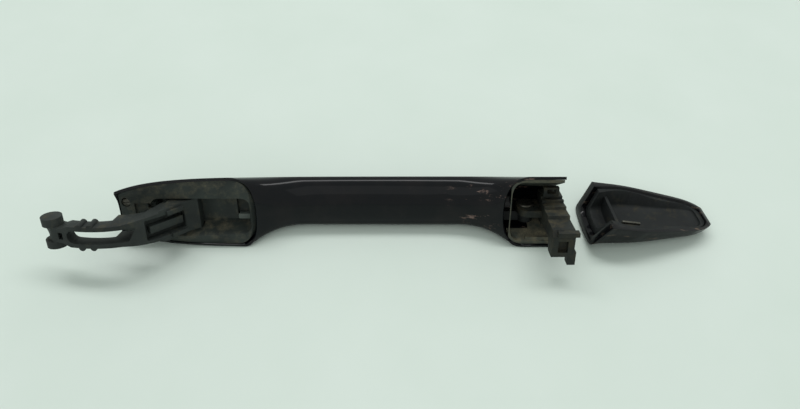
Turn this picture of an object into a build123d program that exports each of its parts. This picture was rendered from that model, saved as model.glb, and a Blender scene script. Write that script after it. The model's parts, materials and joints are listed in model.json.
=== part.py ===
"""Exterior car door handle: a pull grip with its hinge arm and latch hook, and its separate rear cap.

Everything is drawn in millimetres in two working frames.
Grip frame: x runs along the grip from the hinge end to the cap end, y points out from the door,
z runs up the door from the grip's centre line, and y = 0 is the plane of the two door pads.
Cap frame: the same directions, with x = 0 at the cap's front edge.
The finished pieces are then laid down as they lie on a bench: the grip rolled back on its sloping
lower side, the cap on its outer face. The origin is under the middle of the pair, z = 0 is the bench.
"""

import os

from build123d import *

os.makedirs("parts", exist_ok=True)

# ---------------------------------------------------------------- driving dimensions
wall = 2.2  # skin thickness of the painted shells
fit = 0.25  # gap between pieces that are assembled by hand
tip_x, rear_x = -118.6, 68.5
tip_wall = 1.2  # the skin is thinner at the hinge end
front_seam_x, rear_seam_x = -60.5, 43.5  # where each pad ends and the finger scoop begins
cover_front_x, cover_rear_x = -71.0, 54.5  # ends of the finger-side cover, past its curved rims
parting_y = 11.5  # depth of the seam between the outer shell and the finger-side cover
scoop_y = 6.0  # the scoop's deepest point
rim_round = 7.0  # rounding of the scoop's two long edges
roll = 23.0  # the grip lies rolled back by the slope of its own side wall

# x, half height and depth of the grip's domed section
grip_stations = [
    (tip_x, 9.8, 6.0),
    (-112.0, 12.0, 10.0),
    (-99.0, 14.0, 15.0),
    (-83.0, 15.4, 18.8),
    (-64.0, 16.1, 20.8),
    (-38.0, 16.4, 21.5),
    (-4.0, 16.5, 21.7),
    (30.0, 16.5, 21.5),
    (52.0, 16.6, 21.0),
    (rear_x, 16.6, 20.0),
]
# where a section's straight side ends (shares of depth and half height), how far its crown carries on
# along the side (a share of depth), and the height at which the crown turns flat (a share of half height)
grip_section = (0.70, 0.612, 0.16, 0.33)
cap_section = (0.76, 0.82, 0.20, 0.50)

arm_z = -1.2  # height of the hinge arm's centre line
arm_half, arm_tip_half = 7.0, 4.65  # half height of the arm at its root and along its slot
arm_root_y = 7.0  # how deep the arm's root stands in the pad's pocket
knob_x, knob_y, knob_r = -139.0, -13.6, 4.05  # trunnion knobs at the arm's tip
knob_top, knob_bottom = 5.5, -7.6
knob_web_half = 3.2  # half height of the fork between the knobs
slot_half = 2.8
ridge_r = 1.35
ridge_places = [-121.5, -126.0]

pocket_front_x, pocket_rear_x = -104.5, -63.0
pocket_top, pocket_bottom, pocket_deep = 6.6, -9.6, 8.5
pocket_draft = 18.0  # the pocket narrows as the grip does
screw_x, screw_z = -114.6, 4.6
core_screw_x = [-34.0, 16.0]
core_front_x, core_rear_x = -56.0, 42.0  # the beam inside the grip
core_web_y = 11.5  # depth where the beam's pockets start
core_rib_x, core_rib_pitch = [-52.0, -40.0, -25.0, -13.0, -1.0, 23.0], 11.0
boss_foot_y = 15.0  # depth where the outer shell's screw bosses end
boss_r, screw_r = 3.2, 1.1
tongue_top, tongue_thick = -0.5, 3.0
boss_x, boss_y, boss_head_r = 54.6, 6.0, 3.8
hook_front_x, hook_rear_x = 60.5, 69.6

# x, half height and depth of the cap's domed section
cap_stations = [
    (0.0, 15.9, 15.0),
    (14.0, 15.2, 12.2),
    (28.0, 13.7, 9.5),
    (40.0, 11.5, 7.1),
    (48.0, 9.2, 5.3),
    (53.0, 5.2, 3.7),
]
cap_wall, liner_wall = 1.5, 1.2
cap_rake = 4.0  # how far the cap's outer face runs ahead of its rim at the front edge
cap_pitch, cap_yaw, cap_roll = 11.5, 2.0, 8.0  # how the cap's taper and heading turn it on the bench
cap_at = (83.0, 5.2)  # where the cap's front edge lies beside the grip, before centring


def across(x):
    """The plane of a cross-section at x, drawn with y to the right and z up."""
    return Plane(origin=(x, 0, 0), x_dir=(0, 1, 0), z_dir=(1, 0, 0))


def dome_face(x, half, depth, floor_y, shape):
    """A section of the domed skin: straight sloping sides, a crowned outer face, flat at floor_y."""
    side_y_share, side_z_share, reach_share, flat_share = shape
    side_y, side_z, reach = side_y_share * depth, side_z_share * half, reach_share * depth
    lean = (half - side_z) / side_y
    with BuildSketch(across(x)) as face:
        with BuildLine():
            start = (floor_y, half - lean * floor_y)
            side = Line(start, (side_y, side_z))
            near = (side_y + reach, side_z - reach * lean)
            crown = Bezier((side_y, side_z), near, (depth, flat_share * half), (depth, 0))
            mirror(side, about=Plane.XZ)
            mirror(crown, about=Plane.XZ)
            Line(start, (floor_y, lean * floor_y - half))
        make_face()
    return face.sketch


def dome(stations, shape, inset=0.0, floor_y=0.0, first=0.0, last=0.0):
    """The solid inside a row of domed sections, drawn in by inset, its ends moved by first and last."""
    rows = [list(row) for row in stations]
    rows[0][0] += first
    rows[-1][0] += last
    with BuildPart() as solid:
        for x, half, depth in rows:
            add(dome_face(x, half - 1.09 * inset, depth - inset, floor_y, shape))
        loft()
    return solid.part


def scoop(deeper=0.0):
    """The finger scoop seen from above, a long shallow arc that flares out at each pad."""
    front_x, rear_end_x = front_seam_x - deeper, rear_seam_x + deeper
    with BuildPart() as cutter:
        with BuildSketch():
            with BuildLine():
                curve = Spline(
                    (front_x, 0),
                    (-38.0, scoop_y - 1.2 + deeper),
                    (-5.0, scoop_y + deeper),
                    (24.0, scoop_y - 1.2 + deeper),
                    (rear_end_x, 0),
                    tangents=[(0.75, 1), (0.75, -1)],
                )
                Polyline(curve @ 1, (rear_end_x + 9, -12), (front_x - 9, -12), curve @ 0)
            make_face()
        extrude(amount=30, both=True)
    return cutter.part


def grip_form(inset=0.0, floor_y=0.0, first=0.0, last=0.0):
    """The grip's outer form with the finger scoop cut and its long edges rounded, drawn in by inset."""
    body = dome(grip_stations, grip_section, inset, floor_y, first, last)
    cutter = scoop(inset)
    with BuildPart() as form:
        add(body)
        add(cutter, mode=Mode.SUBTRACT)
        rims = form.edges().filter_by(lambda e: e.length > 90 and 1 < e.center().Y < scoop_y + inset + 1)
        fillet(rims.filter_by(lambda e: abs(e.center().Z) > 8), radius=rim_round - inset)
    return form.part


def block(x0, x1, y0, y1, z0, z1):
    """A plain block between two corners."""
    middle = Pos((x0 + x1) / 2, (y0 + y1) / 2, (z0 + z1) / 2)
    return middle * Box(x1 - x0, y1 - y0, z1 - z0, mode=Mode.PRIVATE)


def peg(x, y, z, radius, height):
    """An upright round peg standing on z."""
    return Pos(x, y, z + height / 2) * Cylinder(radius, height, mode=Mode.PRIVATE)


def stud(x, y, z, radius, length):
    """A round peg that points out from the door, starting at y."""
    return Pos(x, y + length / 2, z) * Rot(90, 0, 0) * Cylinder(radius, length, mode=Mode.PRIVATE)


# ---------------------------------------------------------------- painted shells of the grip
form = grip_form()
hollow = grip_form(wall, floor_y=-5, first=tip_wall, last=8)
snug = grip_form(wall + fit, floor_y=-5, first=tip_wall + fit, last=8)
cover_zone = block(cover_front_x, cover_rear_x, -1, parting_y, -20, 20)

with BuildPart() as outer_shell:
    add(form)
    add(hollow, mode=Mode.SUBTRACT)
    add(cover_zone, mode=Mode.SUBTRACT)
    for x in core_screw_x:
        add(stud(x, boss_foot_y, 0, boss_r, 6.0))
        add(stud(x, boss_foot_y - 1, 0, screw_r, 5.0), mode=Mode.SUBTRACT)

with BuildPart() as inner_cover:
    add(form)
    add(hollow, mode=Mode.SUBTRACT)
    add(cover_zone, mode=Mode.INTERSECT)

# ---------------------------------------------------------------- the structure inside the grip
with BuildPart() as grip_core:
    add(snug)
    add(block(core_front_x, core_rear_x, 0, boss_foot_y - fit, -9, 9), mode=Mode.INTERSECT)
    for x in core_rib_x:
        add(block(x, x + core_rib_pitch - 2.0, core_web_y, 20, -7.0, 7.0), mode=Mode.SUBTRACT)
    for x in core_screw_x:
        add(block(x - 5, x + 5, core_web_y - 0.5, boss_foot_y - fit, -6, 6))
        add(stud(x, 0, 0, screw_r + fit, 30), mode=Mode.SUBTRACT)
        add(stud(x, 0, 0, 2.0 + fit, core_web_y - 0.6), mode=Mode.SUBTRACT)
    add(block(core_rear_x - 1, boss_x + 4.5, 8.6, 11.4, -5.5, -4.0))
    add(peg(boss_x, boss_y + 3.2, tongue_top - tongue_thick - 4.2, boss_r, 4.2))
    add(block(core_rear_x - 1, boss_x, boss_y + 2.4, boss_y + 4.6, -7.7, tongue_top - tongue_thick))
    add(peg(boss_x, boss_y + 3.2, -20, screw_r, 40), mode=Mode.SUBTRACT)

with BuildPart() as core_screws:
    for x in core_screw_x:
        add(stud(x, core_web_y - 2.0, 0, 2.0, 1.4))
        add(stud(x, core_web_y - 0.7, 0, screw_r - 0.02, boss_foot_y + 3.5 - core_web_y))

# ---------------------------------------------------------------- front pad and its fittings
pocket_mid_x = (pocket_front_x + pocket_rear_x) / 2
pocket_mid_z = (pocket_top + pocket_bottom) / 2
rib_top, rib_bottom, rib_end_y = pocket_top - 2.8, pocket_bottom + 2.8, pocket_deep + 1
base_ribs = snug & (
    block(pocket_front_x + 3.0, pocket_front_x + 4.6, 6.0, rib_end_y, rib_bottom, rib_top)
    + block(-95.0, -86.0, arm_root_y, rib_end_y, rib_bottom, rib_top)
)
arm_seat = block(-97.8, -84.6, -1, arm_root_y, arm_z - arm_half - 0.2, arm_z + arm_half + 0.2)
seat_x0, seat_x1, seat_y = pocket_rear_x - 7.4, pocket_rear_x + 0.5, 10.6  # square recess in the floor
seat_bottom, seat_top = -7.0, 2.8
with BuildPart() as front_base:
    add(snug)
    add(block(tip_x, core_front_x - 1.5, 0, 15.5, -20, 20), mode=Mode.INTERSECT)
    with BuildSketch(Plane.XZ) as mouth:
        with Locations((pocket_mid_x, pocket_mid_z)):
            RectangleRounded(pocket_rear_x - pocket_front_x, pocket_top - pocket_bottom, 3.6)
    extrude(amount=-pocket_deep, taper=pocket_draft, mode=Mode.SUBTRACT)
    add(block(-111.2, pocket_front_x + 1, -1, 1.4, -3.0, 4.4), mode=Mode.SUBTRACT)
    add(block(-106.0, pocket_front_x + 1, -1, 3.2, 1.6, 4.4), mode=Mode.SUBTRACT)
    add(stud(screw_x, -1, screw_z, 1.9, 2.8), mode=Mode.SUBTRACT)
    add(stud(screw_x, 0, screw_z, screw_r, 20), mode=Mode.SUBTRACT)
    add(block(seat_x0, seat_x1, 5.0, seat_y, seat_bottom, seat_top), mode=Mode.SUBTRACT)
    add(arm_seat, mode=Mode.SUBTRACT)
    add(base_ribs)

with BuildPart() as front_screw:
    add(stud(screw_x, 0.6, screw_z, 1.75, 1.2))
    add(stud(screw_x, 1.7, screw_z, screw_r - 0.02, 2.1))
    add(block(screw_x - 1.2, screw_x + 1.2, 0.5, 1.1, screw_z - 0.2, screw_z + 0.2), mode=Mode.SUBTRACT)

with BuildPart() as access_plug:
    add(block(seat_x0 + 0.2, seat_x1 - 0.2, 7.8, seat_y, seat_bottom + 0.2, seat_bottom + 2.6))
    fillet(access_plug.edges().filter_by(Axis.Y), radius=0.5)

# ---------------------------------------------------------------- hinge arm
web_plane = Plane(origin=(-95.9, -8.2, arm_z), x_dir=(0.676, 0.737, 0), z_dir=(0.737, -0.676, 0))
with BuildPart() as hinge_arm:
    with BuildSketch(Plane.XY.offset(arm_z - arm_half)) as arm_plan:
        with BuildLine():
            front = Spline(
                (-85.2, 2.2),
                (-89.3, -0.9),
                (-95.2, -8.3),
                (-101.5, -14.0),
                (-108.4, -17.9),
                (-115.2, -19.8),
                (-122.5, -20.2),
                (-130.4, -19.2),
                (-138.6, -17.3),
            )
            Polyline(front @ 1, (-142.0, -14.6), (-141.0, -11.2), (-137.6, -10.2), (-131.0, -13.2))
            Spline((-131.0, -13.2), (-124.6, -14.3), (-118.6, -14.3), (-114.9, -13.6))
            Polyline((-114.9, -13.6), (-114.4, -8.6), (-103.9, -8.1), (-100.6, -1.6), (-97.2, 4.9))
            Polyline((-97.2, 4.9), (-96.0, arm_root_y), (-85.2, arm_root_y), (-85.2, 2.2))
        make_face()
    extrude(amount=2 * arm_half)
    with BuildSketch(Plane.XZ.offset(-20)) as arm_side:
        with BuildLine():
            top = Polyline(
                (-84, arm_z),
                (-84, arm_z + arm_half),
                (-97.0, arm_z + arm_half),
                (-97.6, arm_z + arm_half - 0.9),
                (-104.5, arm_z + 5.5),
                (-110.5, arm_z + arm_tip_half),
                (-131.0, arm_z + arm_tip_half),
                (-134.0, arm_z + knob_web_half),
                (-142, arm_z + knob_web_half),
                (-142, arm_z),
            )
            mirror(top, about=Plane.XZ.offset(-arm_z))
        make_face()
    extrude(amount=50, mode=Mode.INTERSECT)
    with BuildSketch(Plane.XZ.offset(-10)) as slot:
        with BuildLine():
            Polyline(
                (-129.0, arm_z + slot_half),
                (-105.0, arm_z + slot_half),
                (-108.0, arm_z - slot_half),
                (-129.0, arm_z - slot_half),
            )
            RadiusArc((-129.0, arm_z + slot_half), (-129.0, arm_z - slot_half), -slot_half)
        make_face()
        with Locations((-134.6, arm_z)):
            Rectangle(1.9, 3.0)
        with Locations((-142.6, arm_z - 0.2)):
            Circle(2.7)
    extrude(amount=40, mode=Mode.SUBTRACT)
    for x in ridge_places:
        for side in (-1, 1):
            add(stud(x, -20.1, arm_z + side * (arm_tip_half - 0.25), ridge_r, 5.9))
    with BuildSketch(web_plane.offset(4)):
        RectangleRounded(17.5, 9.2, 0.8)
    extrude(amount=-7.4, mode=Mode.SUBTRACT)
    with BuildSketch(web_plane.offset(-0.6)):
        with Locations((0.6, -0.4)):
            Rectangle(14.6, 3.2)
    extrude(amount=-3.6)
    with BuildSketch(web_plane.offset(1.6)):
        with Locations((4.2, 5.1), (5.0, -5.2)):
            Rectangle(7.2, 1.7)
    extrude(amount=-2.4)
    add(peg(knob_x, knob_y, arm_z + knob_web_half, knob_r, knob_top - arm_z - knob_web_half))
    add(peg(knob_x, knob_y, knob_bottom, knob_r, arm_z - knob_web_half - knob_bottom))

with BuildPart() as arm_clip:
    add(block(-99.6, -97.5, 5.2, 8.3, -2.0, 3.4))
    add(block(-97.6, -96.3, 7.4, 8.3, -2.0, 3.4))
    fillet(arm_clip.edges().filter_by(Axis.Z), radius=0.4)

# ---------------------------------------------------------------- rear cup and its latch hook
lining = grip_form(wall + fit + liner_wall, floor_y=-5, first=20, last=10)
with BuildPart() as rear_liner:
    add(snug)
    add(block(46.5, rear_x - 0.4, 0.3, 25, -20, 20), mode=Mode.INTERSECT)
    add(lining, mode=Mode.SUBTRACT)
    add(block(46.0, rear_x, 14.6, 25, -20, 20), mode=Mode.SUBTRACT)
    add(block(46.0, 56.0, 6.5, 15, -13, 6), mode=Mode.SUBTRACT)
    add(block(54.0, rear_x - 0.6, 0.9, 2.3, -12.4, -11.0))

with BuildPart() as rear_hook:
    with BuildSketch(Plane.YZ.offset(hook_front_x)) as hook_side:
        with BuildLine():
            Polyline(
                (14.2, 4.5),
                (6.6, 4.5),
                (6.6, 3.2),
                (5.2, 3.2),
                (5.2, 4.0),
                (3.6, 4.0),
                (3.6, 2.9),
                (-1.2, 3.4),
                (-1.4, 2.2),
                (-8.0, 2.6),
                (-8.4, 1.2),
                (-17.6, 1.4),
                (-19.6, -1.0),
                (-19.6, -10.0),
                (-13.6, -10.0),
                (-12.4, -4.6),
                (1.5, -5.4),
                (3.0, -6.9),
                (9.5, -6.9),
                (14.2, -5.2),
                (14.2, 4.5),
            )
        make_face()
    extrude(amount=hook_rear_x - hook_front_x)
    add(block(67.4, 70.6, -19.2, -15.0, -13.9, -8.0))
    with BuildSketch(Plane.XY.offset(tongue_top - tongue_thick)):
        with Locations((57.6, 8.4)):
            RectangleRounded(14.0, 12.0, 4.5)
    extrude(amount=tongue_thick)
    add(block(62.4, hook_rear_x + 1.2, -21.0, -18.0, -0.4, 1.4))
    add(block(63.0, 67.0, -22.0, -17.4, -8.0, -3.0), mode=Mode.SUBTRACT)
    add(peg(boss_x, boss_y + 3.2, -20, screw_r + fit, 40), mode=Mode.SUBTRACT)

with BuildPart() as hook_screw:
    add(peg(boss_x, boss_y + 3.2, tongue_top, boss_head_r, 1.1))
    fillet(hook_screw.edges().sort_by(Axis.Z)[-1], radius=0.6)
    add(peg(boss_x, boss_y + 3.2, tongue_top - 8.0, screw_r - 0.02, 8.2))

with BuildPart() as rear_clip:
    add(block(61.0, 67.6, 5.2, 7.6, 4.5, 9.2))
    add(block(62.6, 66.0, 5.0, 8.0, 6.2, 8.2), mode=Mode.SUBTRACT)

# ---------------------------------------------------------------- separate cap
front_cut = Plane(origin=(0, 0, 0), x_dir=(0, 0, 1), z_dir=(1, cap_rake / cap_stations[0][2], 0))
cap_solid = dome(cap_stations, cap_section)
cap_hollow = dome(cap_stations, cap_section, cap_wall, floor_y=-4, first=-6, last=-cap_wall)
cap_snug = dome(cap_stations, cap_section, cap_wall + fit, floor_y=-4, first=-6, last=-cap_wall - fit)
cap_inside = dome(cap_stations, cap_section, cap_wall + fit + liner_wall, floor_y=-6, first=-8, last=-4)

with BuildPart() as cap_shell:
    add(cap_solid)
    add(cap_hollow, mode=Mode.SUBTRACT)
    split(bisect_by=front_cut.offset(cap_rake - 0.6), keep=Keep.TOP)

with BuildPart() as cap_liner:
    add(cap_snug)
    add(cap_inside, mode=Mode.SUBTRACT)
    add(cap_snug & block(9.0, 10.4, 3.2, 20, -20, 20))
    add(block(-10, 60, 0.8, 30, -20, 20), mode=Mode.INTERSECT)
    split(bisect_by=front_cut.offset(cap_rake + 1.4), keep=Keep.TOP)

with BuildPart() as cap_clip:
    add(block(10.8, 19.0, 1.2, 2.4, -8.8, -7.8))
    add(block(10.8, 12.0, 1.2, 3.4, -8.8, -7.8))

# ---------------------------------------------------------------- laid down on the bench
grip_pieces = {
    "outer_shell": outer_shell,
    "inner_cover": inner_cover,
    "grip_core": grip_core,
    "core_screws": core_screws,
    "front_base": front_base,
    "front_screw": front_screw,
    "access_plug": access_plug,
    "hinge_arm": hinge_arm,
    "arm_clip": arm_clip,
    "rear_liner": rear_liner,
    "rear_hook": rear_hook,
    "hook_screw": hook_screw,
    "rear_clip": rear_clip,
}
cap_pieces = {"cap_shell": cap_shell, "cap_liner": cap_liner, "cap_clip": cap_clip}

lay_grip = Rot(-roll, 0, 0)
turn_cap = Rot(0, 0, cap_yaw) * Rot(0, cap_pitch, 0) * Rot(-90 - cap_roll, 0, 0)
grip_low = (lay_grip * outer_shell.part).bounding_box().min.Z
cap_low = (turn_cap * cap_shell.part).bounding_box().min.Z
laid = {name: Pos(0, 0, -grip_low) * lay_grip * piece.part for name, piece in grip_pieces.items()}
cap_place = Pos(cap_at[0], cap_at[1], -cap_low) * turn_cap
laid.update({name: cap_place * piece.part for name, piece in cap_pieces.items()})

whole = Compound(children=[Compound(part.solids()) for part in laid.values()]).bounding_box()
to_origin = Pos(-whole.center().X, -whole.center().Y, -whole.min.Z)
print("size", whole.size, "shift", to_origin.position, "grip lift", -grip_low, "cap lift", -cap_low)
for name, part in laid.items():
    placed = to_origin * part
    placed.label = name
    export_step(placed, f"parts/{name}.step")
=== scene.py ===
# %% [markdown]
# # A car door pull and its end cap
# The moving frame comes from the CAD model. This script dresses it: smooth painted skins, a moulded
# pad, cleaned mechanical pieces, and a material for each real substance. Lengths are in metres.

# %% Load the frame
import json
import math

import bmesh
import bpy
import mathutils
import numpy as np
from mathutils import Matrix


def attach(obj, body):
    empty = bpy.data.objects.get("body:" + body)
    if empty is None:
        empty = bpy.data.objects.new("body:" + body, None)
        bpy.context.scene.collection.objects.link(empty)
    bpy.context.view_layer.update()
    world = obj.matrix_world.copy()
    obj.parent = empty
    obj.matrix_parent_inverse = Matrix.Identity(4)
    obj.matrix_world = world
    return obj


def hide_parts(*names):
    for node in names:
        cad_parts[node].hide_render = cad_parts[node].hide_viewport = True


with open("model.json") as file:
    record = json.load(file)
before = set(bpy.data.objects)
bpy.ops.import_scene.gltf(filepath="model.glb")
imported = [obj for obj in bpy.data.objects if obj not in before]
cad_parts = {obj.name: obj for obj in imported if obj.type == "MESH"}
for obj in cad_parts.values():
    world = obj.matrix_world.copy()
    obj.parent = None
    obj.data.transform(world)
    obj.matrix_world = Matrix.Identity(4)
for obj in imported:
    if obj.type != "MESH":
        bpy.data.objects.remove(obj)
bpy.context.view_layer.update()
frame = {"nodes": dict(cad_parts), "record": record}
MM = 0.001
mounts = {m["name"]: m for m in frame["record"]["mounts"]}

# %% [markdown]
# The grip was drawn upright and lies rolled back. Its own axes come from the trunnion knob's mount:
# `up` runs along the knob, `along` is the frame's X, and `out` completes the set.

# %% The grip's own coordinates
KNOB = np.array((-139.0, -13.6, 3.75))  # the upper knob's middle in the grip's own millimetres
up = np.array(mounts["trunnion_upper"]["axis"], dtype=float)
along = np.array((1.0, 0.0, 0.0))
out = np.cross(up, along)
grip_out = out.tolist()
axes = np.stack((along, out, up))
grip_origin = np.array(mounts["trunnion_upper"]["pos_m"]) - KNOB * MM @ axes


def grip_to_frame(points):
    """Points (..., 3) in the grip's millimetres, as metres in the frame: origin plus axes times lengths."""
    return grip_origin + (np.asarray(points) * MM) @ axes


def frame_to_grip(points):
    """The way back: metres in the frame, as the grip's millimetres."""
    return (np.asarray(points) - grip_origin) @ axes.T / MM


print("grip origin", grip_origin, "out", out)

# %% [markdown]
# Every new surface is a grid of points, so one helper turns a grid into a mesh. Points that fall
# together, as at a pole, are welded. The order of a face's corners makes its normal point outwards.

# %% Grid to mesh
RIM_ANGLE = math.radians(50)  # edges sharper than this are rims


def grid_object(name, points, body, material):
    """A quad mesh over a grid (rows, columns, 3), riding on a body."""
    rows, columns = points.shape[:2]
    index = np.arange(rows * columns).reshape(rows, columns)
    corners = (index[:-1, :-1], index[1:, :-1], index[1:, 1:], index[:-1, 1:])
    faces = np.stack(corners, axis=-1).reshape(-1, 4)
    mesh = bpy.data.meshes.new(name)
    mesh.from_pydata(points.reshape(-1, 3).tolist(), [], faces.tolist())
    weld(mesh)
    mesh.polygons.foreach_set("use_smooth", [True] * len(mesh.polygons))
    mesh.materials.append(material)
    piece = bpy.data.objects.new(name, mesh)
    bpy.context.scene.collection.objects.link(piece)
    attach(piece, body)
    return piece


def weld(mesh, distance=1e-6):
    """Join points closer than distance, in metres."""
    work = bmesh.new()
    work.from_mesh(mesh)
    bmesh.ops.remove_doubles(work, verts=work.verts, dist=distance)
    work.to_mesh(mesh)
    work.free()


def thicken(piece, depth, rim_round, even=True):
    """Give a skin its wall, inwards, with a small round on its rims."""
    solid = piece.modifiers.new("wall", "SOLIDIFY")
    solid.thickness = depth * MM
    solid.offset = -1.0
    solid.use_even_offset = even
    bevel = piece.modifiers.new("rim", "BEVEL")
    bevel.width = rim_round * MM
    bevel.segments = 3
    bevel.limit_method = "ANGLE"
    bevel.angle_limit = RIM_ANGLE


# %% [markdown]
# Materials are procedural. Colours are given as hex and turned linear by one function, and pattern
# sizes are real millimetres in object coordinates.

# %% Material tools
def colour(hex_code):
    """sRGB hex to linear RGBA, by the sRGB curve."""
    parts = [int(hex_code[i:i + 2], 16) / 255 for i in (1, 3, 5)]
    linear = [p / 12.92 if p <= 0.04045 else ((p + 0.055) / 1.055) ** 2.4 for p in parts]
    return (*linear, 1.0)


def add_node(tree, kind, inputs=None, **settings):
    """One node with its settings and inputs; an input that is a socket is linked."""
    node = tree.nodes.new(kind)
    for key, value in settings.items():
        setattr(node, key, value)
    for key, value in (inputs or {}).items():
        if isinstance(value, bpy.types.NodeSocket):
            tree.links.new(value, node.inputs[key])
        else:
            node.inputs[key].default_value = value
    return node


def new_material(name):
    """An empty node material with its Principled shader and object coordinates in millimetres."""
    material = bpy.data.materials.new(name)
    material.use_nodes = True
    tree = material.node_tree
    shader = tree.nodes["Principled BSDF"]
    where = add_node(tree, "ShaderNodeTexCoord")
    to_mm = {"Vector": where.outputs["Object"], "Scale": (1000, 1000, 1000)}
    scaled = add_node(tree, "ShaderNodeMapping", to_mm)
    return material, tree, shader, scaled.outputs["Vector"]


def noise(tree, vector, size_mm, detail=4.0, roughness=0.55):
    """Noise whose lumps are about size_mm across."""
    inputs = {"Vector": vector, "Scale": 1.0 / size_mm, "Detail": detail, "Roughness": roughness}
    return add_node(tree, "ShaderNodeTexNoise", inputs).outputs["Fac"]


def ramp(tree, value, low, high, to_low=0.0, to_high=1.0):
    """Value mapped from low..high to to_low..to_high, clamped."""
    inputs = {"Value": value, "From Min": low, "From Max": high, "To Min": to_low, "To Max": to_high}
    return add_node(tree, "ShaderNodeMapRange", inputs).outputs["Result"]


def multiply(tree, a, b):
    """a times b."""
    return add_node(tree, "ShaderNodeMath", {0: a, 1: b}, operation="MULTIPLY").outputs[0]


def blend_colour(tree, factor, a, b):
    """Colour a where factor is 0, b where it is 1."""
    node = add_node(tree, "ShaderNodeMix", {"Factor": factor}, data_type="RGBA")
    for slot_index, value in ((6, a), (7, b)):
        if isinstance(value, bpy.types.NodeSocket):
            tree.links.new(value, node.inputs[slot_index])
        else:
            node.inputs[slot_index].default_value = value
    return node.outputs[2]


# %% [markdown]
# Moulded PA/PP plastic: a fine spark-eroded grain, slow colour drift from fading, and road dust
# that settles where the surface faces up and in patches a few millimetres wide.

# %% Plastic
GRAIN_MM, GRAIN_HEIGHT = 0.35, 0.00006
MATTE, DUSTY = 0.62, 0.92  # roughness of bare and of dusty plastic


def moulded_plastic(name, base, faded, dust, dust_reach):
    """Matte moulded plastic with grain, fading and settled dust."""
    material, tree, shader, mm = new_material(name)
    drift = ramp(tree, noise(tree, mm, 9.0, 3.0), 0.35, 0.68)
    body_colour = blend_colour(tree, drift, colour(base), colour(faded))
    normal = add_node(tree, "ShaderNodeNewGeometry").outputs["Normal"]
    facing = add_node(tree, "ShaderNodeSeparateXYZ", {0: normal}).outputs["Z"]
    settled = ramp(tree, facing, -0.1, 0.95, 0.25, 1.0)
    patches = ramp(tree, noise(tree, mm, 5.0, 9.0, 0.68), 0.62 - dust_reach, 0.78 - dust_reach * 0.5)
    specks = ramp(tree, noise(tree, mm, 0.7, 6.0, 0.7), 0.45, 0.75, 0.45, 1.0)
    dusty = multiply(tree, multiply(tree, settled, patches), specks)
    tree.links.new(blend_colour(tree, dusty, body_colour, colour(dust)), shader.inputs["Base Color"])
    tree.links.new(ramp(tree, dusty, 0.0, 1.0, MATTE, DUSTY), shader.inputs["Roughness"])
    grain = noise(tree, mm, GRAIN_MM, 2.0)
    lumps = add_node(tree, "ShaderNodeMath", {0: grain, 1: multiply(tree, dusty, 0.9)}, operation="ADD")
    bump_inputs = {"Height": lumps.outputs[0], "Strength": 0.35, "Distance": GRAIN_HEIGHT}
    bump = add_node(tree, "ShaderNodeBump", bump_inputs)
    tree.links.new(bump.outputs["Normal"], shader.inputs["Normal"])
    shader.inputs["Specular IOR Level"].default_value = 0.25
    return material


pad_plastic = moulded_plastic("pad_plastic", "#252a28", "#313734", "#746d59", 0.16)
arm_plastic = moulded_plastic("arm_plastic", "#212524", "#2d3230", "#57523f", 0.08)
dusty_plastic = moulded_plastic("dusty_plastic", "#181b19", "#222622", "#564e39", 0.18)
cap_plastic = moulded_plastic("cap_plastic", "#121516", "#1a1e1e", "#474233", 0.07)
# The cup lining is the hook's plastic with lighter base and dust colours: painted light in the hollow. Its
# wider dust reach is real dust.
cup_dust_and_painted_light = moulded_plastic("cup_dust_and_painted_light", "#353a36", "#434943", "#857b62", 0.24)
dark_plastic = moulded_plastic("dark_plastic", "#0f1212", "#171b1b", "#3d3a31", 0.02)
light_plastic = moulded_plastic("light_plastic", "#575f5b", "#6b736e", "#8a836d", 0.12)

# %% [markdown]
# Body paint over plastic: a sprayed near-black basecoat with fine flake, clear coat on top, hairline
# scratches along the grip, and brown scuffs where rings and nails touch near the cap end.

# %% Paint
SCUFF_FADE_IN, SCUFF_FADE_OUT = 12, 8  # millimetres over which the scuffs come and go
SCUFF_STRETCH, HAIR_STRETCH = (0.25, 1.0, 1.0), (0.05, 2.2, 2.2)
SCRATCH_HEIGHT = 0.00003


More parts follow.
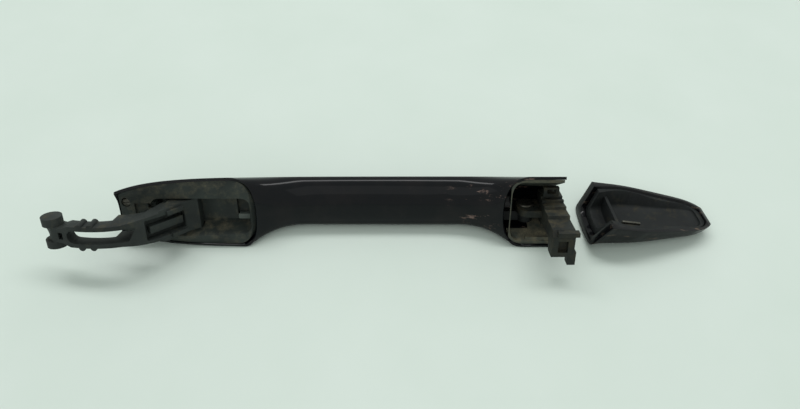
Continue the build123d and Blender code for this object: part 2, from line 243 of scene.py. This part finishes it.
def car_paint(name, base, flake_colour, scuff, scuff_from, scuff_to, scuff_reach):
    """Metallic basecoat under clear coat; scuffs grow between the two places along X, in millimetres."""
    material, tree, shader, mm = new_material(name)
    cells = add_node(tree, "ShaderNodeTexVoronoi", {"Vector": mm, "Scale": 9.0})
    sparkle = ramp(tree, cells.outputs["Distance"], 0.0, 0.35, 1.0, 0.0)
    flakes = multiply(tree, sparkle, ramp(tree, noise(tree, mm, 0.3, 2.0), 0.45, 0.7))
    coat_colour = blend_colour(tree, multiply(tree, flakes, 0.28), colour(base), colour(flake_colour))
    place = add_node(tree, "ShaderNodeSeparateXYZ", {0: mm}).outputs["X"]
    after_start = ramp(tree, place, scuff_from, scuff_from + SCUFF_FADE_IN)
    before_end = ramp(tree, place, scuff_to, scuff_to - SCUFF_FADE_OUT)
    near = multiply(tree, after_start, before_end)
    stretched = add_node(tree, "ShaderNodeMapping", {"Vector": mm, "Scale": SCUFF_STRETCH})
    patches = noise(tree, stretched.outputs["Vector"], 2.4, 9.0, 0.72)
    rubbed = ramp(tree, patches, 0.66 - scuff_reach, 0.74 - scuff_reach)
    scuffed = multiply(tree, near, rubbed)
    film = ramp(tree, noise(tree, mm, 12.0, 6.0, 0.6), 0.45, 0.8, 0.0, 0.035)
    worn = add_node(tree, "ShaderNodeMath", {0: scuffed, 1: film}, operation="MAXIMUM").outputs[0]
    tree.links.new(blend_colour(tree, worn, coat_colour, colour(scuff)), shader.inputs["Base Color"])
    hair = add_node(tree, "ShaderNodeMapping", {"Vector": mm, "Scale": HAIR_STRETCH})
    hairlines = ramp(tree, noise(tree, hair.outputs["Vector"], 0.5, 3.0, 0.6), 0.60, 0.66)
    tree.links.new(ramp(tree, worn, 0.0, 1.0, 0.28, 0.7), shader.inputs["Roughness"])
    faint = multiply(tree, hairlines, 0.3)
    height = add_node(tree, "ShaderNodeMath", {0: faint, 1: scuffed}, operation="ADD")
    bump_inputs = {"Height": height.outputs[0], "Strength": 0.2, "Distance": SCRATCH_HEIGHT}
    bump = add_node(tree, "ShaderNodeBump", bump_inputs)
    tree.links.new(bump.outputs["Normal"], shader.inputs["Normal"])
    shader.inputs["Metallic"].default_value = 0.1
    shader.inputs["Specular IOR Level"].default_value = 0.05
    shader.inputs["Coat Weight"].default_value = 0.34
    shader.inputs["Coat Roughness"].default_value = 0.045
    return material


grip_paint = car_paint("grip_paint", "#06080c", "#2c4058", "#75615a", 22.0, 66.0, 0.07)
cap_paint = car_paint("cap_paint", "#090a0d", "#222d3b", "#5a4d42", 66.0, 170.0, 0.075)

# %% [markdown]
# Zinc-plated steel for the screw heads and spring clips: dull, slightly yellow, with pitting.

# %% Plated steel
PIT_DEPTH = 0.00004


def plated_steel(name):
    """Dull zinc plate with tarnish and fine pits."""
    material, tree, shader, mm = new_material(name)
    tarnish = ramp(tree, noise(tree, mm, 1.5, 7.0, 0.65), 0.4, 0.7)
    plate_colour = blend_colour(tree, tarnish, colour("#6a6962"), colour("#45423a"))
    tree.links.new(plate_colour, shader.inputs["Base Color"])
    tree.links.new(ramp(tree, tarnish, 0.0, 1.0, 0.38, 0.7), shader.inputs["Roughness"])
    pits = noise(tree, mm, 0.2, 3.0)
    bump = add_node(tree, "ShaderNodeBump", {"Height": pits, "Strength": 0.3, "Distance": PIT_DEPTH})
    tree.links.new(bump.outputs["Normal"], shader.inputs["Normal"])
    shader.inputs["Metallic"].default_value = 1.0
    return material


steel = plated_steel("plated_steel")

# %% [markdown]
# The grip's domed section. Half height and depth grow away from the hinge-end tip and settle to
# the full strap; the side walls are straight and the outer face is one crowned curve.

# %% The grip's section
TIP_X, REAR_X = -118.6, 68.5
SIDE_DEPTH, SIDE_HEIGHT = 0.70, 0.612  # where the straight wall ends, shares of depth and half height
CROWN_REACH, CROWN_FLAT = 0.16, 0.33  # how far the crown carries on along the wall, where it turns flat
NOSE_LENGTH = 3.2
FRONT_RIM, REAR_RIM = -60.5, 43.5
FRONT_CORNERS = (10.6, 6.6)  # how far the front rim curves back at the top and at the bottom
REAR_CORNERS = (11.0, 9.4)
FLARE = 25.0
SEAM_DEPTH = 12.2
SKIN, RIM_ROUND = 1.2, 0.15  # thickness of the painted skins and the round on their rims
NOSE_START = 0.06  # the nose begins as a thin edge, so that its wall stays clean


def half_height(x):
    """Half height: the full 16.5 less a decay from the tip."""
    return 16.55 - 6.9 * np.exp(-(x - TIP_X) / 16.5)


def depth(x):
    """Depth: full less a decay from the tip, a slight fall to the cap end, rounded off at the tip."""
    full = 21.65 - 15.4 * np.exp(-(x - TIP_X) / 20.0) - 1.5 * np.clip((x - 20) / 48.5, 0, 1) ** 2
    nose = np.clip((x - TIP_X) / NOSE_LENGTH, NOSE_START, 1)
    return full * np.sqrt(1 - (1 - nose) ** 2.2)


def lean(x):
    """Height that the side wall loses per unit of depth."""
    return half_height(x) * (1 - SIDE_HEIGHT) / (SIDE_DEPTH * np.maximum(depth(x), 1e-6))


def flare_in(distance):
    """0 at a rim, 1 past the flare: steep at the rim, then easing out."""
    t = np.clip(distance / FLARE, 0, 1)
    return 1 - (1 - t) ** 2.6


def seam_depth(x, top):
    """Depth of the seam between the two skins: 0 past the rims' corners, SEAM_DEPTH in the middle."""
    front = FRONT_RIM - FRONT_CORNERS[0 if top else 1]
    rear = REAR_RIM + REAR_CORNERS[0 if top else 1]
    return SEAM_DEPTH * np.minimum(flare_in(x - front), flare_in(rear - x))


x_samples = np.array((TIP_X, -99.0, -64.0, 0.0, REAR_X))
print("half", half_height(x_samples).round(1), "depth", depth(x_samples).round(1))

# %% [markdown]
# The outer shell runs from the seam along the top wall, over the crown and down to the seam below.

# %% Outer shell
def crown_curve(t):
    """The outer face as shares of (depth, half height), a cubic from the wall's end to the centre line."""
    slope = (1 - SIDE_HEIGHT) / SIDE_DEPTH
    near = (SIDE_DEPTH + CROWN_REACH, SIDE_HEIGHT - CROWN_REACH * slope)
    p = np.array(((SIDE_DEPTH, SIDE_HEIGHT), near, (1.0, CROWN_FLAT), (1.0, 0.0)))
    t = t[:, None]
    return (1 - t) ** 3 * p[0] + 3 * (1 - t) ** 2 * t * p[1] + 3 * (1 - t) * t ** 2 * p[2] + t ** 3 * p[3]


def outer_points(x):
    """The outer shell over stations x: wall, crown and the other wall, as (stations, columns, 3)."""
    d, h = depth(x)[:, None], half_height(x)[:, None]
    wall = np.linspace(0, 1, 14)[None, :]
    crown = crown_curve(np.linspace(0, 1, 26))[1:]
    halves = []
    for top in (True, False):
        start = np.minimum(seam_depth(x, top)[:, None], SIDE_DEPTH * d)
        y = start + (SIDE_DEPTH * d - start) * wall
        z = h - lean(x)[:, None] * y
        y = np.hstack((y, d * crown[None, :, 0]))
        z = np.hstack((z, h * crown[None, :, 1]))
        halves.append(np.stack((y, z), axis=-1))
    upper, lower = halves
    lower = lower[:, ::-1][:, 1:] * np.array((1.0, -1.0))
    section = np.concatenate((upper, lower), axis=1)
    xs = np.broadcast_to(x[:, None, None], section.shape[:2] + (1,))
    return np.concatenate((xs, section), axis=-1)


tip_steps = TIP_X + NOSE_LENGTH * (1 - np.cos(np.linspace(0, math.pi / 2, 14)))
body_steps = np.linspace(TIP_X + NOSE_LENGTH, REAR_X, 190)[1:]
corner_stations = (FRONT_RIM - FRONT_CORNERS[0], FRONT_RIM - FRONT_CORNERS[1])
corner_stations += (REAR_RIM + REAR_CORNERS[0], REAR_RIM + REAR_CORNERS[1])
stations = np.unique(np.concatenate((tip_steps, body_steps, corner_stations)))
outer_grid = grip_to_frame(outer_points(stations))
outer = grid_object("outer_skin", outer_grid, "handle", grip_paint)
thicken(outer, SKIN, RIM_ROUND, even=False)
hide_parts("outer_shell")
outward = np.mean([polygon.normal @ mathutils.Vector(grip_out) for polygon in outer.data.polygons])
print("outer skin", len(outer.data.polygons), "mean outward normal", round(float(outward), 2))

# %% [markdown]
# The finger-side cover is stretched between two C-shaped rims. Each long curve leaves the front
# rim, dives to the grip's rounded inner face and comes back up to the rear rim.

# %% Finger-side cover
def rim_curve(side, corners, rim_x, direction):
    """A rim as (x, z): a C whose corners are superellipse quarters; side runs -1..1, bottom to top."""
    angle = side * math.pi / 2
    n = 2 / 2.35
    reach = np.where(side > 0, corners[0], corners[1])
    x = rim_x + direction * reach * (1 - np.abs(np.cos(angle)) ** n)
    return x, np.sign(side) * np.abs(np.sin(angle)) ** n


side = np.linspace(-1, 1, 61)[None, :]
travel = np.linspace(0, 1, 150)[:, None]
travel = 0.5 - 0.5 * np.cos(travel * math.pi) * (0.55 + 0.45 * np.abs(np.cos(travel * math.pi)))
front_x, share = rim_curve(side, FRONT_CORNERS, FRONT_RIM, -1)
rear_x, _ = rim_curve(side, REAR_CORNERS, REAR_RIM, 1)
x = front_x + (rear_x - front_x) * travel
blend = np.minimum(flare_in(x - front_x), flare_in(rear_x - x))
h = half_height(x)
inner_flat = 5.3 + 0.7 * (1 - ((x + 8) / 52) ** 2)
round_side = np.abs(np.cos(side * math.pi / 2)) ** (2 / 2.1)
oval_y = SEAM_DEPTH - (SEAM_DEPTH - inner_flat) * round_side
y = oval_y * blend
wall_z = h - lean(x) * SEAM_DEPTH * blend
z = share * wall_z
cover_grid = np.stack((x, y, z), axis=-1)
cover = grid_object("finger_cover", grip_to_frame(cover_grid), "handle", grip_paint)
thicken(cover, SKIN, RIM_ROUND)
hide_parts("inner_cover")
print("cover", len(cover.data.polygons))

# %% [markdown]
# Mechanical pieces keep their CAD shape. A copy is welded, its flat facets are joined, and its
# edges get the small radius of a moulding tool.

# %% Carried-over pieces
WELD, FLAT_ANGLE, EDGE_ANGLE = 2e-6, math.radians(1.2), math.radians(32)


def spread(points):
    """Grip points moved out to the skin: z gains SPREAD and the skins' difference, by a smooth step."""
    x, y, z = points.T
    skin_half = half_height(np.maximum(x, TIP_X))
    share = np.clip((np.abs(z) / skin_half - 0.50) / 0.20, 0, 1)
    step = share * share * (3 - 2 * share)
    gain = SPREAD + skin_half - np.interp(x, *CAD_HALF)
    return np.stack((x, y, z + np.sign(z) * gain * step), axis=-1)


def moulded_copy(node, body, material, radius, spreads=False):
    """A cleaned copy of a CAD node with rounded edges, standing for it."""
    mesh = frame["nodes"][node].data.copy()
    mesh.name = node + "_moulded"
    work = bmesh.new()
    work.from_mesh(mesh)
    bmesh.ops.remove_doubles(work, verts=work.verts, dist=WELD)
    bmesh.ops.dissolve_limit(work, angle_limit=FLAT_ANGLE, verts=work.verts, edges=work.edges)
    work.to_mesh(mesh)
    work.free()
    if spreads:
        places = np.empty(len(mesh.vertices) * 3)
        mesh.vertices.foreach_get("co", places)
        before = frame_to_grip(places.reshape(-1, 3))
        after = spread(before)
        mesh.vertices.foreach_set("co", grip_to_frame(after).ravel())
        print(node, "z", before[:, 2].min().round(2), before[:, 2].max().round(2), end=" -> ")
        print(after[:, 2].min().round(2), after[:, 2].max().round(2))
    mesh.materials.clear()
    mesh.materials.append(material)
    mesh.polygons.foreach_set("use_smooth", [True] * len(mesh.polygons))
    piece = bpy.data.objects.new(node + "_moulded", mesh)
    bpy.context.scene.collection.objects.link(piece)
    bevel = piece.modifiers.new("tool_radius", "BEVEL")
    bevel.width = radius * MM
    bevel.segments = 2
    bevel.limit_method = "ANGLE"
    bevel.angle_limit = EDGE_ANGLE
    bevel.harden_normals = True
    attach(piece, body)
    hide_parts(node)
    return piece


SPREAD = 1.30  # from the CAD piece's wall to the thinner skin
CAD_HALF = ((-118.6, -112, -99, -83, -64, -38, 68.5), (9.8, 12.0, 14.0, 15.4, 16.1, 16.4, 16.6))
for node, slot, material, radius in (
    ("front_base", "dusty_plastic", pad_plastic, 0.15),
    ("hinge_arm", "arm_plastic", arm_plastic, 0.35),
    ("rear_liner", "dusty_plastic", cup_dust_and_painted_light, 0.15),
    ("rear_hook", "dusty_plastic", dusty_plastic, 0.3),
    ("rear_clip", "dusty_plastic", dusty_plastic, 0.2),
    ("grip_core", "dusty_plastic", dark_plastic, 0.2),
    ("access_plug", "light_plastic", light_plastic, 0.2),
    ("arm_clip", "zinc_steel", steel, 0.12),
    ("front_screw", "zinc_steel", steel, 0.1),
    ("hook_screw", "zinc_steel", steel, 0.1),
    ("core_screws", "zinc_steel", steel, 0.1),
):
    moulded_copy(node, "handle", material, radius, spreads=node in ("front_base", "rear_liner"))
for node, slot, material in (
    ("cap_shell", "dark_paint", cap_paint),
    ("cap_liner", "dusty_plastic", cap_plastic),
    ("cap_clip", "zinc_steel", steel),
):
    moulded_copy(node, "cap", material, 0.2)

# %% [markdown]
# A pale flat sheet, a long narrow light behind and above that draws the highlights on the paint, a
# broad weak light in front, and a bright sky that fills the shadows. The camera looks down at 49
# degrees.

# %% Stage, lights and camera
floor_grid = np.array([[[sx * 3.0, sy * 3.0, 0.0] for sx in (-1, 1)] for sy in (-1, 1)])
mesh = bpy.data.meshes.new("floor")
mesh.from_pydata(floor_grid.reshape(-1, 3).tolist(), [], [(0, 1, 3, 2)])
floor = bpy.data.objects.new("floor", mesh)
bpy.context.scene.collection.objects.link(floor)
floor_material, floor_tree, floor_shader, floor_mm = new_material("pale_sheet")
tint = ramp(floor_tree, noise(floor_tree, floor_mm, 60.0, 3.0), 0.3, 0.7)
sheet_colour = blend_colour(floor_tree, tint, colour("#d2ddd6"), colour("#cedad2"))
floor_tree.links.new(sheet_colour, floor_shader.inputs["Base Color"])
floor_shader.inputs["Roughness"].default_value = 0.55
mesh.materials.append(floor_material)

world = bpy.data.worlds.new("studio")
world.use_nodes = True
world.node_tree.nodes["Background"].inputs["Color"].default_value = colour("#e6ece8")
world.node_tree.nodes["Background"].inputs["Strength"].default_value = 0.76
bpy.context.scene.world = world


def softbox(name, place, target, size, power):
    """A rectangular area light at place, aimed at target."""
    data = bpy.data.lights.new(name, "AREA")
    data.shape = "RECTANGLE"
    data.size, data.size_y = size
    data.energy = power
    light = bpy.data.objects.new(name, data)
    bpy.context.scene.collection.objects.link(light)
    light.location = place
    aim(light, place, target)


def aim(thing, place, target):
    """Turn thing so that its -Z looks from place to target, its Y up."""
    ahead = np.array(target, dtype=float) - np.array(place, dtype=float)
    ahead /= np.linalg.norm(ahead)
    right = np.cross(ahead, (0, 0, 1))
    right /= np.linalg.norm(right)
    above = np.cross(right, ahead)
    columns = np.stack((right, above, -ahead), axis=1)
    thing.rotation_euler = mathutils.Matrix(columns.tolist()).to_euler()


softbox("overhead", (0.05, 0.45, 1.05), (0.0, 0.0, 0.0), (1.5, 0.22), 6.6)
softbox("front_fill", (-0.4, -0.75, 1.0), (0.0, 0.0, 0.0), (1.4, 0.9), 1.2)

ELEVATION = math.radians(49.0)
camera_place = np.array((4.0, -173.2, 221.1)) * MM
camera_data = bpy.data.cameras.new("camera")
camera_data.sensor_width = 36.0
camera_data.lens = 28.8
camera_data.clip_start = 0.01
camera = bpy.data.objects.new("camera", camera_data)
bpy.context.scene.collection.objects.link(camera)
camera.location = camera_place
camera.rotation_euler = (math.pi / 2 - ELEVATION, 0.0, 0.0)
bpy.context.scene.camera = camera
bpy.context.scene.view_settings.view_transform = "Standard"
